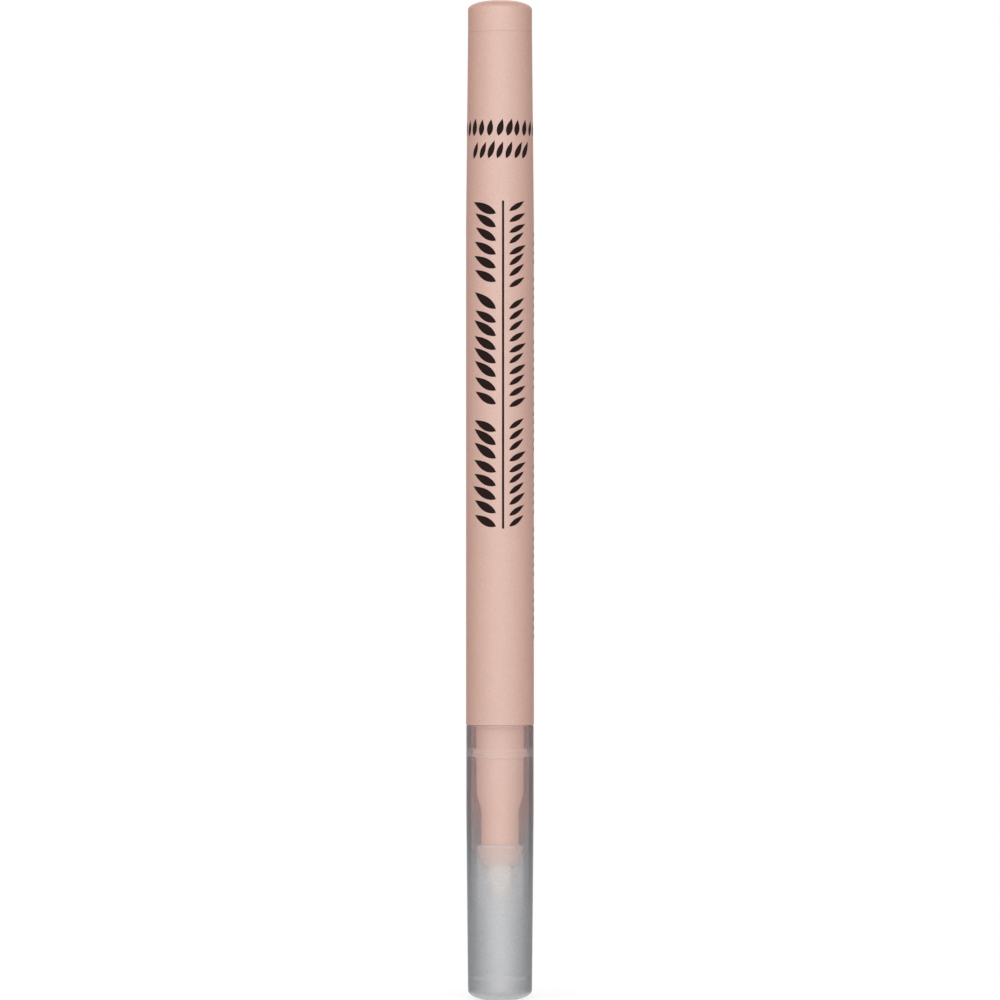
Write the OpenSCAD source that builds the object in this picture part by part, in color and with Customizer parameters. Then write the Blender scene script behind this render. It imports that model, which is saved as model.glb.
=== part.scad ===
// Fibre-tip cuticle pen with its push-on cap, standing on the closed end of the cap.
// Z runs along the pen's axis from the cap to the tail, and z = 0 is the flat foot of the cap.
// Every piece is turned round that axis. Lengths are in millimetres.

/* [Barrel] */
// Outside diameter along the grip
barrel_d = 9.5; // [8:0.1:12]
// Length from the shoulder that the cap meets to the seam of the end plug
barrel_l = 97; // [70:1:140]
// Wall round the reservoir
barrel_wall = 1.15; // [1.05:0.05:1.3]
// How much smaller in diameter the tail end is than the grip
tail_drop = 0.54; // [0.1:0.02:0.8]
// Length of the taper towards the tail
tail_taper_l = 26.5; // [5:0.5:60]
// Thickness of the step between the neck and the reservoir's bore
step_t = 1; // [0.6:0.1:3]
// Rounding of the shoulder's outer edge
shoulder_round = 0.12; // [0.05:0.01:0.3]
// Number of ribs along the bore, which hold the reservoir clear of the wall
bore_ribs = 6; // [3:1:8]
// Height of those ribs
bore_rib_h = 0.31; // [0.2:0.01:0.5]
// Width of those ribs
bore_rib_w = 0.6; // [0.4:0.05:1]

/* [Neck] */
// Length of the neck from the shoulder to the cone
neck_l = 9.7; // [8:0.1:14]
// How far the neck lies inside the barrel's surface where the cone starts
neck_step = 1.5; // [1.4:0.05:1.7]
// How much larger in diameter the neck is at its root
neck_draft = 0.2; // [0:0.02:0.3]
// Wall of the neck
neck_wall = 0.75; // [0.5:0.05:1]
// Height of the fillet at the root of the neck
root_fillet_h = 0.3; // [0.3:0.1:2]
// How far that fillet stands out
root_fillet_w = 0.18; // [0.05:0.01:0.3]
// How far the snap bead lies beyond the cap's snap ring when the cap is home
bead_past = 0.55; // [0.4:0.05:1]
// Height of the snap bead above the neck
bead_h = 0.1; // [0.08:0.01:0.25]
// Width of the snap bead along the neck
bead_w = 0.75; // [0.4:0.05:1.2]

/* [Nose] */
// Length of the cone between the neck and the nose
cone_l = 2.3; // [1:0.1:4]
// Length of the straight nose
nose_l = 6.6; // [4:0.1:9]
// Wall of the nose
nose_wall = 0.75; // [0.65:0.05:0.9]
// Length of the tapered tip of the nose
tip_l = 1.1; // [0.6:0.1:2]
// How much smaller in diameter the nose is at its end face
tip_drop = 1; // [0.4:0.1:1.1]
// Number of ribs in the nose that grip the nib and leave air channels between them
nose_ribs = 4; // [3:1:6]
// Height of those ribs
nose_rib_h = 0.33; // [0.2:0.01:0.4]
// Width of those ribs
nose_rib_w = 0.7; // [0.4:0.05:1]

/* [Nib] */
// How far the nib stands out of the nose
nib_out = 4.9; // [3.5:0.1:7]
// Slope of the bullet's side from the axis, in degrees
nib_slope = 20; // [15:1:30]
// Radius of the blunt point, as a share of the nib's radius
nib_point_share = 0.53; // [0.3:0.01:0.7]
// How far the nib's rear end reaches into the reservoir
nib_in = 5; // [2:0.5:10]
// Chamfer at the nib's rear end
nib_chamfer = 0.3; // [0.1:0.05:0.6]

/* [Reservoir] */
// Thickness of the film round the fibre rod
wrap_t = 0.12; // [0.08:0.01:0.2]
// Length of bare fibre at each end of the film
wrap_short = 1.5; // [0.5:0.1:4]

/* [End plug] */
// Length of the plug's head, which ends the pen
head_l = 4.5; // [3.5:0.1:8]
// Height of the domed rounding on the head
dome_h = 1.3; // [0.6:0.1:2.5]
// Diameter of the flat middle of the dome
dome_flat_d = 1; // [0.8:0.1:6]
// Chamfer on the head at the seam
seam_chamfer = 0.1; // [0.05:0.01:0.2]
// Length of the spigot in the barrel
spigot_l = 8.5; // [6:0.5:14]
// Wall of the hollow spigot
spigot_wall = 0.9; // [0.6:0.05:1.4]
// Thickness of the head over the hollow
head_wall = 1.6; // [0.8:0.1:2.4]
// Number of sealing rings on the spigot
plug_rings = 2; // [1:1:3]
// Height of a sealing ring
plug_ring_h = 0.1; // [0.05:0.01:0.2]
// Width of a sealing ring
plug_ring_w = 0.9; // [0.5:0.1:1.2]
// Distance from the seam to the first sealing ring, and from ring to ring
plug_ring_pitch = 2.2; // [1.5:0.1:2.6]

/* [Cap] */
// Length of the cap
cap_l = 38.5; // [37:0.5:50]
// How far the cap's mouth lies inside the barrel's surface
cap_inset = 0.035; // [0:0.005:0.1]
// Wall of the cap
cap_wall = 0.65; // [0.5:0.05:0.75]
// Thickness of the closed end
cap_end_t = 1; // [0.8:0.1:2]
// Straight length at the mouth
cap_straight_l = 12; // [6:0.5:24]
// How much smaller in diameter the cap is at its closed end
cap_drop = 0.47; // [0.1:0.01:0.6]
// Height of the rounding at the closed end
cap_round_h = 1.4; // [0.6:0.1:1.5]
// Diameter of the flat foot
foot_d = 3; // [2.6:0.1:7]
// Diameter of the moulding gate's dimple in the foot
gate_d = 1.8; // [1:0.1:2.4]
// Depth of that dimple
gate_h = 0.15; // [0.05:0.05:0.3]
// Rounding of the mouth's outer edge
mouth_round = 0.15; // [0.05:0.01:0.25]
// Chamfer inside the mouth
mouth_chamfer = 0.15; // [0.05:0.01:0.3]
// Distance from the mouth to the middle of the snap ring
snap_down = 3.85; // [3:0.05:5]
// Width of the snap ring at its root
snap_w = 1.15; // [0.8:0.05:1.6]

/* [Inner cap] */
// Air space between the cap's wall and the sleeve at the closed end
sleeve_air = 0.58; // [0.4:0.02:0.8]
// How far the sleeve reaches up the straight nose
sleeve_reach = 1.8; // [1:0.1:4]
// Wall of the sleeve round the nose
sleeve_wall = 0.6; // [0.4:0.05:0.75]
// Thickness of the sleeve's closed end
sleeve_end_t = 1; // [0.6:0.1:2]
// Height of the retaining ring's middle above the cap's floor
hold_up = 2.1; // [1.6:0.1:6]
// Width of the retaining ring
hold_w = 0.8; // [0.5:0.1:1.4]
// Depth of the groove that the retaining ring sits in
hold_groove = 0.12; // [0.05:0.01:0.2]

/* [Fits] */
// Clearance all round the nose in the sleeve
seal_gap = 0.05; // [0.02:0.01:0.1]
// Clearance between the snap bead and the snap ring
snap_gap = 0.05; // [0.02:0.01:0.1]
// Clearance round the plug's sealing rings
plug_gap = 0.03; // [0.01:0.01:0.06]
// Clearance of the nib in its ribs and in the reservoir
nib_gap = 0.02; // [0.01:0.01:0.05]
// Clearance between the fibre rod and its film
wrap_gap = 0.02; // [0.01:0.01:0.05]
// Clearance between the film and the bore's ribs
rib_gap = 0.05; // [0.02:0.01:0.1]
// Clearance round the retaining ring in its groove
hold_gap = 0.03; // [0.01:0.01:0.05]

/* [Hidden] */
facets = 96;
arc_steps = 8;

rose = [0.85, 0.70, 0.65];
frost = [0.86, 0.87, 0.88, 0.55];
milky = [0.92, 0.92, 0.92, 0.7];
felt = [0.93, 0.92, 0.88];
fibre = [0.90, 0.91, 0.90];
film = [0.80, 0.86, 0.90, 0.6];

// How far a cut reaches past what it cuts
over = 1;
// Small edges that one value serves
edge = 0.15;

// Heights, from the cap's mouth down to the nib's point and up to the tail
shoulder_z = cap_l;
neck_end_z = shoulder_z - neck_l;
nose_top_z = neck_end_z - cone_l;
tip_top_z = nose_top_z - nose_l;
tip_z = tip_top_z - tip_l;
point_z = tip_z - nib_out;
step_z = shoulder_z + step_t;
seam_z = shoulder_z + barrel_l;
taper_z = seam_z - tail_taper_l;
spigot_z = seam_z - spigot_l;
top_z = seam_z + head_l;
nib_rear_z = step_z + nib_in;

snap_z = cap_l - snap_down;
bead_z = snap_z - bead_past;

// Radii of the barrel and the neck
barrel_r = barrel_d / 2;
tail_r = barrel_r - tail_drop / 2;
bore_r = barrel_r - barrel_wall;
neck_r = barrel_r - neck_step;
neck_root_r = neck_r + neck_draft / 2;
neck_bore_r = neck_r - neck_wall;

// Radii of the cap
cap_r = barrel_r - cap_inset;
cap_end_r = cap_r - cap_drop / 2;
cap_in_r = cap_r - cap_wall;
cap_end_in_r = cap_end_r - cap_wall;

// Radii from the cap's closed end inwards: the sleeve, the nose in it, and the nib that the nose holds
sleeve_r = cap_end_in_r - sleeve_air;
socket_r = sleeve_r - sleeve_wall;
nose_r = socket_r - seal_gap;
tip_r = nose_r - tip_drop / 2;
nose_bore_r = nose_r - nose_wall;
nose_grip_r = nose_bore_r - nose_rib_h;
nib_r = nose_grip_r - nib_gap;
// The neck's bore ends one nose wall above the cone, so the cone keeps its wall
neck_floor_z = neck_end_z + nose_wall;

// The nib's bullet: a cone that runs into a round point without a corner
nib_point_r = nib_r * nib_point_share;
point_edge_r = nib_point_r * cos(nib_slope);
point_edge_z = point_z + nib_point_r * (1 - sin(nib_slope));
nib_body_z = point_edge_z + (nib_r - point_edge_r) / tan(nib_slope);

// Radius of the neck's surface at a height
function neck_at(z) = neck_r + (neck_root_r - neck_r) * (z - neck_end_z) / neck_l;
bead_r = neck_at(bead_z) + bead_h;

// Radii of the reservoir, from the bore inwards
rib_tip_r = bore_r - bore_rib_h;
wrap_r = rib_tip_r - rib_gap;
wrap_in_r = wrap_r - wrap_t;
reservoir_r = wrap_in_r - wrap_gap;

// Radii of the end plug
plug_ring_r = bore_r - plug_gap;
spigot_r = plug_ring_r - plug_ring_h;
spigot_in_r = spigot_r - spigot_wall;
hollow_z = top_z - head_wall;

// Heights and the snap ring of the cap
cap_taper_z = cap_l - cap_straight_l;
snap_r = bead_r + snap_gap;
// Share of the snap ring's width that its flat crest takes
snap_flat_share = 0.2;

// Outer radius of the cap's tapered wall at a height, and the radius inside that wall
function cap_at(z) = cap_end_r + (cap_r - cap_end_r) * (z - cap_round_h) / (cap_taper_z - cap_round_h);
function cap_in_at(z) = cap_at(z) - cap_wall;

// Heights and the chamber of the inner cap
chamber_r = tip_r + seal_gap;
sleeve_top_z = tip_top_z + sleeve_reach;
sleeve_floor_z = cap_end_t + sleeve_end_t;
// Share of the sleeve's wall that the chamfer inside its rim takes
sleeve_lead_share = 0.55;
sleeve_lead = sleeve_wall * sleeve_lead_share;
// The cap's inner corner is rounded as far as the foot of the sleeve
cap_corner = sleeve_air;

// The retaining ring of the inner cap, and the groove round it
hold_z = cap_end_t + hold_up;
groove_top_z = hold_z + hold_w / 2;
groove_end_z = hold_z - hold_w / 2;
groove_r = cap_in_at(hold_z) + hold_groove;
hold_r = groove_r - hold_gap;
hold_top_z = groove_top_z - hold_gap;
hold_end_z = groove_end_z + hold_gap;

// Quarter of an ellipse between two points of a profile.
// It leaves the first point upright, or level where level is true.
function quarter(from, to, level = false) = [
    for (i = [0 : arc_steps])
        let (a = 90 * i / arc_steps, across = level ? sin(a) : 1 - cos(a), up = level ? 1 - cos(a) : sin(a))
        [from.x + (to.x - from.x) * across, from.y + (to.y - from.y) * up]
];

// Half of a round bead that stands out of a wall from z1 down to z2
function bead(wall_r, crest_r, z1, z2) = concat(
    quarter([wall_r, z1], [crest_r, (z1 + z2) / 2], true),
    quarter([crest_r, (z1 + z2) / 2], [wall_r, z2])
);

// Turns a profile of radii and heights round the pen's axis
module revolve(profile) {
    rotate_extrude($fn = facets) polygon(profile);
}

// Ribs spaced round the axis from radius r outwards, with a lead-in at their upper ends
module ribs(count, r, w, z1, z2, lead) {
    far = r + over;
    for (i = [0 : count - 1])
        rotate(360 * i / count)
            rotate([90, 0, 0])
                linear_extrude(w, center = true)
                    polygon([[r, z1], [far, z1], [far, z2], [r + lead, z2], [r, z2 - lead]]);
}

// Barrel, neck, cone and nose in one moulding, seen from outside
function barrel_outline() = concat(
    [[0, tip_z], [tip_r, tip_z], [nose_r, tip_top_z], [nose_r, nose_top_z], [neck_r, neck_end_z]],
    bead(neck_at(bead_z), bead_r, bead_z - bead_w / 2, bead_z + bead_w / 2),
    quarter(
        [neck_at(shoulder_z - root_fillet_h), shoulder_z - root_fillet_h],
        [neck_root_r + root_fillet_w, shoulder_z]
    ),
    quarter([barrel_r - shoulder_round, shoulder_z], [barrel_r, shoulder_z + shoulder_round], true),
    [[barrel_r, taper_z], [tail_r, seam_z], [0, seam_z]]
);

// The stepped bore, from the nose to the open tail
function barrel_cavity() = [
    [0, tip_z - over],
    [nose_bore_r, tip_z - over],
    [nose_bore_r, neck_floor_z],
    [neck_bore_r, neck_floor_z],
    [neck_bore_r, step_z],
    [bore_r, step_z],
    [bore_r, seam_z - edge],
    [bore_r + edge, seam_z],
    [bore_r + edge, seam_z + over],
    [0, seam_z + over]
];

module barrel() {
    color(rose)
        difference() {
            revolve(barrel_outline());
            difference() {
                revolve(barrel_cavity());
                ribs(nose_ribs, nose_grip_r, nose_rib_w, tip_z + edge, neck_floor_z, nose_rib_h / 2);
                ribs(bore_ribs, rib_tip_r, bore_rib_w, step_z, spigot_z - edge, bore_rib_h / 2);
            }
        }
}

// Sealing rings down the spigot, from the seam
function plug_ring_points() = [
    for (i = [1 : plug_rings])
        let (z = seam_z - i * plug_ring_pitch)
        each bead(spigot_r, plug_ring_r, z + plug_ring_w / 2, z - plug_ring_w / 2)
];

function end_plug_profile() = concat(
    [[0, top_z]],
    quarter([dome_flat_d / 2, top_z], [tail_r, top_z - dome_h], true),
    [[tail_r, seam_z + seam_chamfer], [tail_r - seam_chamfer, seam_z], [spigot_r, seam_z]],
    plug_ring_points(),
    [[spigot_r, spigot_z + edge], [spigot_r - edge, spigot_z], [spigot_in_r, spigot_z]],
    quarter([spigot_in_r, hollow_z - spigot_wall], [spigot_in_r - spigot_wall, hollow_z]),
    [[0, hollow_z]]
);

module end_plug() {
    color(rose) revolve(end_plug_profile());
}

module reservoir() {
    color(fibre)
        difference() {
            translate([0, 0, step_z]) cylinder(h = spigot_z - step_z, r = reservoir_r, $fn = facets);
            translate([0, 0, step_z - over]) cylinder(h = nib_in + over, r = nib_r + nib_gap, $fn = facets);
        }
}

module reservoir_wrap() {
    color(film)
        difference() {
            translate([0, 0, step_z + wrap_short])
                cylinder(h = spigot_z - step_z - 2 * wrap_short, r = wrap_r, $fn = facets);
            translate([0, 0, step_z])
                cylinder(h = spigot_z - step_z, r = wrap_in_r, $fn = facets);
        }
}

// The nib's round point, from the axis to where the cone touches it
function round_point() = [
    for (i = [0 : arc_steps])
        let (a = (90 - nib_slope) * i / arc_steps)
        [nib_point_r * sin(a), point_z + nib_point_r * (1 - cos(a))]
];

module nib() {
    color(felt)
        revolve(concat(
            round_point(),
            [
                [nib_r, nib_body_z],
                [nib_r, nib_rear_z - nib_chamfer],
                [nib_r - nib_chamfer, nib_rear_z],
                [0, nib_rear_z]
            ]
        ));
}

// Outside of the cap, from the dimple in its foot up to the mouth
function cap_outside() = concat(
    [[0, gate_h], [gate_d / 2 - gate_h, gate_h], [gate_d / 2, 0]],
    quarter([foot_d / 2, 0], [cap_end_r, cap_round_h], true),
    [[cap_r, cap_taper_z]],
    quarter([cap_r, cap_l - mouth_round], [cap_r - mouth_round, cap_l])
);

// Inside of the cap, from the mouth down past the snap ring and the groove to the closed end
function cap_inside() = concat(
    [
        [cap_in_r + mouth_chamfer, cap_l],
        [cap_in_r, cap_l - mouth_chamfer],
        [cap_in_r, snap_z + snap_w / 2],
        [snap_r, snap_z + snap_w * snap_flat_share / 2],
        [snap_r, snap_z - snap_w * snap_flat_share / 2],
        [cap_in_r, snap_z - snap_w / 2],
        [cap_in_r, cap_taper_z],
        [cap_in_at(groove_top_z), groove_top_z],
        [groove_r, groove_top_z - hold_groove],
        [groove_r, groove_end_z + hold_groove],
        [cap_in_at(groove_end_z), groove_end_z]
    ],
    quarter([cap_end_in_r, cap_end_t + cap_corner], [sleeve_r, cap_end_t]),
    [[0, cap_end_t]]
);

module cap() {
    color(frost) revolve(concat(cap_outside(), cap_inside()));
}

// The retaining ring keeps one clearance from every side of its groove
function inner_cap_profile() = concat(
    [
        [0, cap_end_t],
        [sleeve_r - edge, cap_end_t],
        [sleeve_r, cap_end_t + edge],
        [sleeve_r, hold_end_z],
        [hold_r - hold_groove, hold_end_z],
        [hold_r, hold_end_z + hold_groove],
        [hold_r, hold_top_z - hold_groove],
        [hold_r - hold_groove, hold_top_z],
        [sleeve_r, hold_top_z]
    ],
    quarter([sleeve_r, sleeve_top_z - edge], [sleeve_r - edge, sleeve_top_z]),
    [
        [socket_r + sleeve_lead, sleeve_top_z],
        [socket_r, sleeve_top_z - sleeve_lead],
        [socket_r, tip_top_z],
        [chamber_r, tip_z]
    ],
    quarter([chamber_r, sleeve_floor_z + sleeve_wall], [chamber_r - sleeve_wall, sleeve_floor_z]),
    [[0, sleeve_floor_z]]
);

module inner_cap() {
    color(milky) revolve(inner_cap_profile());
}

barrel();
end_plug();
reservoir();
reservoir_wrap();
nib();
cap();
inner_cap();
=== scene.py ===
# %% [markdown]
# A slim fibre-tip pen stands on its frosted cap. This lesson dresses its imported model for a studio
# picture. The model is loaded as a fixed frame, so every height and radius that the frame knows is
# read from it, and no piece has to be fitted by eye. Lengths on the pen and of the camera are
# written in millimetres, as they would be measured, and are multiplied by MM where Blender takes
# metres. The studio round the pen, with its lamps and its floor, is written in metres.

import math

import bmesh
import bpy
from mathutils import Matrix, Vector


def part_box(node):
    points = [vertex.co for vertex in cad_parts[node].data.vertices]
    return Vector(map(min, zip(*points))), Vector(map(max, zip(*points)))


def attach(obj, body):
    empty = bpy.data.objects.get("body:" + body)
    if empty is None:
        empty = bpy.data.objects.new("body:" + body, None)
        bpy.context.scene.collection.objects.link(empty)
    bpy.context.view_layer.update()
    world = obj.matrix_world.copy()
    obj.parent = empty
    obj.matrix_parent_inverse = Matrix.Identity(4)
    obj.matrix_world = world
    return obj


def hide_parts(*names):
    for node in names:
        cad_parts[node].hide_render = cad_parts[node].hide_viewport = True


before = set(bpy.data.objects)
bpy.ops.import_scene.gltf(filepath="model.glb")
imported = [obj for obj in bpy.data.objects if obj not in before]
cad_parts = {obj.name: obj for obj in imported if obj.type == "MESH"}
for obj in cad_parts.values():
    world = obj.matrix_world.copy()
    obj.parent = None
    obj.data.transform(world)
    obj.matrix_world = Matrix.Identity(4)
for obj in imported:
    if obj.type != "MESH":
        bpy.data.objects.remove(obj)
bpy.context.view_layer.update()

MM = 0.001


def reach(node_name):
    """Lowest height, highest height and radius of a node, in millimetres."""
    low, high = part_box(node_name)
    return low.z / MM, high.z / MM, high.x / MM


tip_z, seam_z, barrel_r = reach("barrel")
spigot_z, top_z, tail_r = reach("end_plug")
point_z, nib_rear_z, nib_r = reach("nib")
foot_z, mouth_z, cap_r = reach("cap")
sleeve_top_z, hold_r = reach("inner_cap")[1:]
print(f"pen {top_z - foot_z:.1f} mm long, {2 * barrel_r:.2f} mm across, cap {mouth_z:.1f} mm")

# %% [markdown]
# The photograph shows the pen end to end in a square frame, upright and without any visible
# convergence, so the camera stood level with its middle and far away. An orthographic camera would
# be quite flat, but the photograph was taken through a lens, so a long lens at 1.25 m stands in for
# it. Its length follows from the distance and the height that the frame has to hold.

# %% Camera
CAMERA_AWAY = 1250.0
VIEW_HEIGHT = 140.1
VIEW_MIDDLE_Z = 70.0
SENSOR = 36.0
SIGHT_END = 100000.0


def add_camera():
    """Level camera that looks along +Y at the middle of the pen."""
    camera = bpy.data.objects.new("camera", bpy.data.cameras.new("camera"))
    camera.data.sensor_width = SENSOR
    camera.data.lens = SENSOR * CAMERA_AWAY / VIEW_HEIGHT
    camera.location = (0, -CAMERA_AWAY * MM, VIEW_MIDDLE_Z * MM)
    camera.rotation_euler = (math.pi / 2, 0, 0)
    camera.data.clip_end = SIGHT_END * MM
    bpy.context.scene.collection.objects.link(camera)
    bpy.context.scene.camera = camera
    print(f"lens {camera.data.lens:.0f} mm")


add_camera()

# %% [markdown]
# Shader and geometry trees are built from many small nodes. They could be laid out by hand in the
# editor, but a written tree can be read from top to bottom and run again. One helper adds a node,
# sets it up and wires its inputs, and the short ones after it are steps that many trees share.

# %% Node helper
def node(tree, kind, inputs=None, **settings):
    """Adds a node. Inputs go by socket name or number, and hold a plain value or another socket."""
    made = tree.nodes.new(kind)
    for name, value in settings.items():
        setattr(made, name, value)
    for key, value in (inputs or {}).items():
        if isinstance(value, bpy.types.NodeSocket):
            tree.links.new(value, made.inputs[key])
        else:
            made.inputs[key].default_value = value
    return made


def calc(tree, operation, *values):
    """Output of one Math node."""
    return node(tree, "ShaderNodeMath", dict(enumerate(values)), operation=operation).outputs[0]


def blend(tree, share, first, second):
    """Number that goes from first to second as share goes from 0 to 1."""
    made = node(tree, "ShaderNodeMix", {0: share, 2: first, 3: second}, data_type="FLOAT")
    return made.outputs[0]


def blend_colour(tree, share, first, second):
    """Colour that goes from first to second as share goes from 0 to 1."""
    made = node(tree, "ShaderNodeMix", {0: share, 6: first, 7: second}, data_type="RGBA")
    return made.outputs[2]


def scale_colour(tree, colour, share):
    """Colour times a number."""
    made = node(tree, "ShaderNodeVectorMath", {0: colour, "Scale": share}, operation="SCALE")
    return made.outputs[0]


def blend_shaders(tree, share, first, second):
    """Shader that goes from first to second as share goes from 0 to 1."""
    return node(tree, "ShaderNodeMixShader", {0: share, 1: first, 2: second}).outputs[0]


def smooth_rise(tree, value, start, end):
    """Number that rises gently from 0 at start to 1 at end."""
    limits = {"Value": value, "From Min": start, "From Max": end}
    made = node(tree, "ShaderNodeMapRange", limits, interpolation_type="SMOOTHSTEP")
    return made.outputs[0]


def object_place(tree):
    """Object coordinates of the point that is shaded."""
    return node(tree, "ShaderNodeTexCoord").outputs["Object"]


def add_sockets(tree, direction, **kinds):
    """Named sockets of a group, with underscores for spaces. The direction is INPUT or OUTPUT."""
    for name, kind in kinds.items():
        tree.interface.new_socket(
            name.replace("_", " "), in_out=direction, socket_type="NodeSocket" + kind
        )


print("helpers are ready")

# %% [markdown]
# Soft light from the front shapes the barrel: a very wide box above the camera's axis gives the
# broad sheen down its middle and lets both edges fall off into shade. It stands far off, so that
# the tail isn't lit more than the cap. A weak box overhead lights the dome, and two behind give the
# back a softer sheen of its own. A grey world fills in from all round, as the white walls of a
# studio tent do. A panorama picture could light the pen too, but boxes can be set one at a time.
# For rays that look at the background or mirror it, the world is plain white.

# %% World and lamps
WORLD_LEVEL = 0.24
WHITE = (1, 1, 1, 1)
BOX_AWAY = 5.0
SOFTBOXES = (
    # name, azimuth and elevation in degrees, width, height, power
    ("front_box", -4, 27, 7.2, 2.0, 153.0),
    ("top_box", 0, 80, 3.0, 3.0, 60.0),
    ("back_box_left", -168, 22, 2.5, 2.0, 48.0),
    ("back_box_right", 168, 22, 2.5, 2.0, 48.0),
)


def seen_directly(tree):
    """1 for rays of sight, also mirrored or refracted ones, and 0 for light on its way."""
    rays = node(tree, "ShaderNodeLightPath").outputs
    seen = calc(tree, "MAXIMUM", rays["Is Camera Ray"], rays["Is Glossy Ray"])
    return calc(tree, "MAXIMUM", seen, rays["Is Transmission Ray"])


def add_world():
    """Grey light all round, and plain white where it is seen."""
    world = bpy.data.worlds.new("studio")
    bpy.context.scene.world = world
    world.use_nodes = True
    tree = world.node_tree
    tree.nodes.clear()
    level = blend(tree, seen_directly(tree), WORLD_LEVEL, 1.0)
    light = node(tree, "ShaderNodeBackground", {"Color": WHITE, "Strength": level})
    node(tree, "ShaderNodeOutputWorld", {"Surface": light.outputs[0]})


def add_softbox(name, azimuth, elevation, width, height, power):
    """Area lamp on a sphere round the pen, turned to its middle. Azimuth 0 is the camera's side."""
    data = bpy.data.lights.new(name, "AREA")
    data.shape = "RECTANGLE"
    data.size = width
    data.size_y = height
    data.energy = power
    lamp = bpy.data.objects.new(name, data)
    round_by, up_by = math.radians(azimuth), math.radians(elevation)
    out = Vector(
        (
            math.sin(round_by) * math.cos(up_by),
            -math.cos(round_by) * math.cos(up_by),
            math.sin(up_by),
        )
    )
    lamp.location = out * BOX_AWAY + Vector((0, 0, VIEW_MIDDLE_Z * MM))
    lamp.rotation_euler = out.to_track_quat("Z", "Y").to_euler()
    lamp.visible_camera = False
    bpy.context.scene.collection.objects.link(lamp)
    print(f"{name}: {power} W")


add_world()
for box in SOFTBOXES:
    add_softbox(*box)
bpy.context.scene.view_settings.view_transform = "Standard"

# %% [markdown]
# The floor is pale and plain. Close to the pen it is a real matt surface that takes the shadow.
# Where it is looked at, a little light of its own lifts it to white, and with distance that light
# takes over, so that the floor runs into the background without an edge. A curved backdrop would
# hide the edge too, but from one side only, and this pen is looked at from all round.

# %% Floor
FLOOR_R = 4.0
FLOOR_STEPS = 96
PAPER = (0.85, 0.85, 0.85, 1)
FLOOR_LIFT = 0.37
FADE_FROM = 0.03
FADE_TO = 0.16


def floor_finish():
    """Matt paper near the pen, which turns into plain white further out."""
    material = bpy.data.materials.new("floor_paper")
    material.use_nodes = True
    tree = material.node_tree
    tree.nodes.clear()
    seen = seen_directly(tree)
    away = node(tree, "ShaderNodeVectorMath", {0: object_place(tree)}, operation="LENGTH")
    far = smooth_rise(tree, away.outputs["Value"], FADE_FROM, FADE_TO)
    paper = node(tree, "ShaderNodeBsdfDiffuse", {"Color": PAPER}).outputs[0]
    strength = calc(tree, "MULTIPLY", seen, FLOOR_LIFT)
    lift = node(tree, "ShaderNodeEmission", {"Color": WHITE, "Strength": strength}).outputs[0]
    near = node(tree, "ShaderNodeAddShader", {0: paper, 1: lift}).outputs[0]
    glow = node(tree, "ShaderNodeEmission", {"Color": WHITE, "Strength": 1.0}).outputs[0]
    whole = blend_shaders(tree, calc(tree, "MULTIPLY", far, seen), near, glow)
    node(tree, "ShaderNodeOutputMaterial", {"Surface": whole})
    return material


def add_floor():
    """Round floor under the foot. It is staging, so it isn't part of the pen."""
    mesh = bpy.data.meshes.new("floor")
    shape = bmesh.new()
    bmesh.ops.create_circle(shape, cap_ends=True, segments=FLOOR_STEPS, radius=FLOOR_R)
    shape.to_mesh(mesh)
    shape.free()
    mesh.materials.append(floor_finish())
    floor = bpy.data.objects.new("floor", mesh)
    bpy.context.scene.collection.objects.link(floor)
    print(f"floor {2 * FLOOR_R:.0f} m across")


add_floor()

# %% [markdown]
# Moulded plastic is never quite even. A fine grain from the mould breaks up the gloss, and the
# colour drifts by a hair. A photographed texture could give this grain, but it would need a seam
# somewhere round the pen, and noise needs none. Every plastic on this pen shares these effects, so
# they live in one group, and each material gives it its own scale and strength.

# %% Moulded grain
FINE_SHARE = 0.9
FINE_DETAIL = 2.0
BROAD_SHARE = 0.12
BROAD_SCALE = 0.08
BROAD_DETAIL = 3.0
NOISE_MIDDLE = 0.5


def noise(tree, place, scale, detail):
    """Noise round 0.5 at a place, with more cells to the metre as the scale grows."""
    inputs = {"Vector": place, "Scale": scale, "Detail": detail}
    return node(tree, "ShaderNodeTexNoise", inputs).outputs[0]


def centred(tree, value, share):
    """Share of a noise, moved so that its middle is zero."""
    return calc(tree, "MULTIPLY_ADD", value, share, -NOISE_MIDDLE * share)


def moulded_grain_group():
    """Grain of a mould: a shade round 1, a height for bump and a roughness."""
    tree = bpy.data.node_groups.new("moulded_grain", "ShaderNodeTree")
    add_sockets(
        tree,
        "INPUT",
        Grain_size="Float",
        Shade_drift="Float",
        Roughness="Float",
        Roughness_drift="Float",
    )
    add_sockets(tree, "OUTPUT", Shade="Float", Height="Float", Roughness="Float")
    given = node(tree, "NodeGroupInput").outputs
    place = object_place(tree)
    scale = calc(tree, "DIVIDE", 1 / MM, given["Grain size"])
    fine = noise(tree, place, scale, FINE_DETAIL)
    broad = noise(tree, place, calc(tree, "MULTIPLY", scale, BROAD_SCALE), BROAD_DETAIL)
    both = calc(
        tree, "ADD", centred(tree, fine, FINE_SHARE), centred(tree, broad, BROAD_SHARE)
    )
    shade = calc(tree, "MULTIPLY_ADD", both, given["Shade drift"], 1.0)
    rough = calc(tree, "MULTIPLY_ADD", both, given["Roughness drift"], given["Roughness"])
    node(tree, "NodeGroupOutput", {"Shade": shade, "Height": fine, "Roughness": rough})
    print(f"{tree.name}: {len(tree.nodes)} nodes")
    return tree


moulded_grain = moulded_grain_group()

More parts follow.
